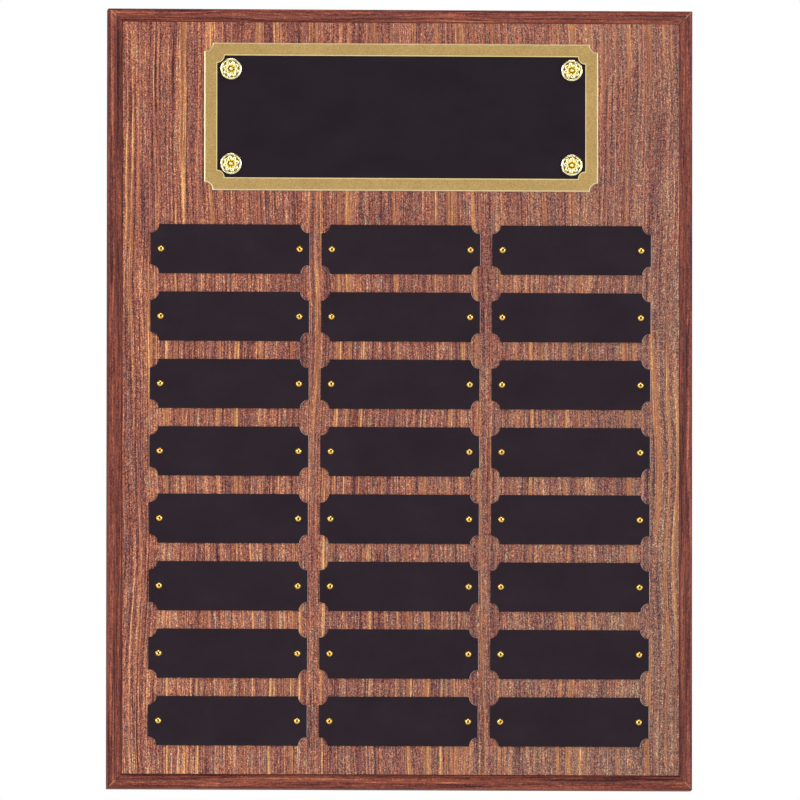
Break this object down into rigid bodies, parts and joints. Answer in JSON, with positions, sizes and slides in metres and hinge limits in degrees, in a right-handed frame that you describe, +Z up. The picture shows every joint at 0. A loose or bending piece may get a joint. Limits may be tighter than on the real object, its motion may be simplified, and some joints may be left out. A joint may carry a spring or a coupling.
{
  "type": "wooden award plaque",
  "caption": "Walnut-finish award plaque with a mitred moulded edge, a brass-bordered header plate on rosettes, rows of small screwed name plates, and keyhole slots in the back for hanging.",
  "frame": {"origin": "middle of the back face, which lies on the wall", "axes": "+X across the plaque, to the right for someone who faces it; +Y into the wall; +Z up the plaque"},
  "size_m": [0.2286, 0.0186, 0.3048],
  "materials": {
    "walnut_laminate": "satin walnut grain running up the board",
    "moulding_wood": "satin stained, grain along each strip",
    "core_fibreboard": "raw fibreboard",
    "back_sheet": "matt brown melamine",
    "header_brass": "satin",
    "black_enamel": "matt black enamel",
    "black_plate": "matt black coat, bare cut edges",
    "rosette_brass": "bright stamped",
    "screw_brass": "bright",
    "pin_steel": "plain"
  },
  "bodies": {
    "root": {"core_board": "core_fibreboard", "front_laminate": "walnut_laminate", "back_sheet": "back_sheet", "edge_moulding_left": "moulding_wood", "edge_moulding_right": "moulding_wood", "edge_moulding_top": "moulding_wood", "edge_moulding_bottom": "moulding_wood", "header_plate": "header_brass", "header_enamel": "black_enamel", "rosette_heads": "rosette_brass", "rosette_pins": "pin_steel", "plate_screws": "screw_brass", "name_plate_r1_c1": "black_plate", "name_plate_r1_c2": "black_plate", "name_plate_r1_c3": "black_plate", "name_plate_r2_c1": "black_plate", "name_plate_r2_c2": "black_plate", "name_plate_r2_c3": "black_plate", "name_plate_r3_c1": "black_plate", "name_plate_r3_c2": "black_plate", "name_plate_r3_c3": "black_plate", "name_plate_r4_c1": "black_plate", "name_plate_r4_c2": "black_plate", "name_plate_r4_c3": "black_plate", "name_plate_r5_c1": "black_plate", "name_plate_r5_c2": "black_plate", "name_plate_r5_c3": "black_plate", "name_plate_r6_c1": "black_plate", "name_plate_r6_c2": "black_plate", "name_plate_r6_c3": "black_plate", "name_plate_r7_c1": "black_plate", "name_plate_r7_c2": "black_plate", "name_plate_r7_c3": "black_plate", "name_plate_r8_c1": "black_plate", "name_plate_r8_c2": "black_plate", "name_plate_r8_c3": "black_plate"}
  },
  "joints": []
}
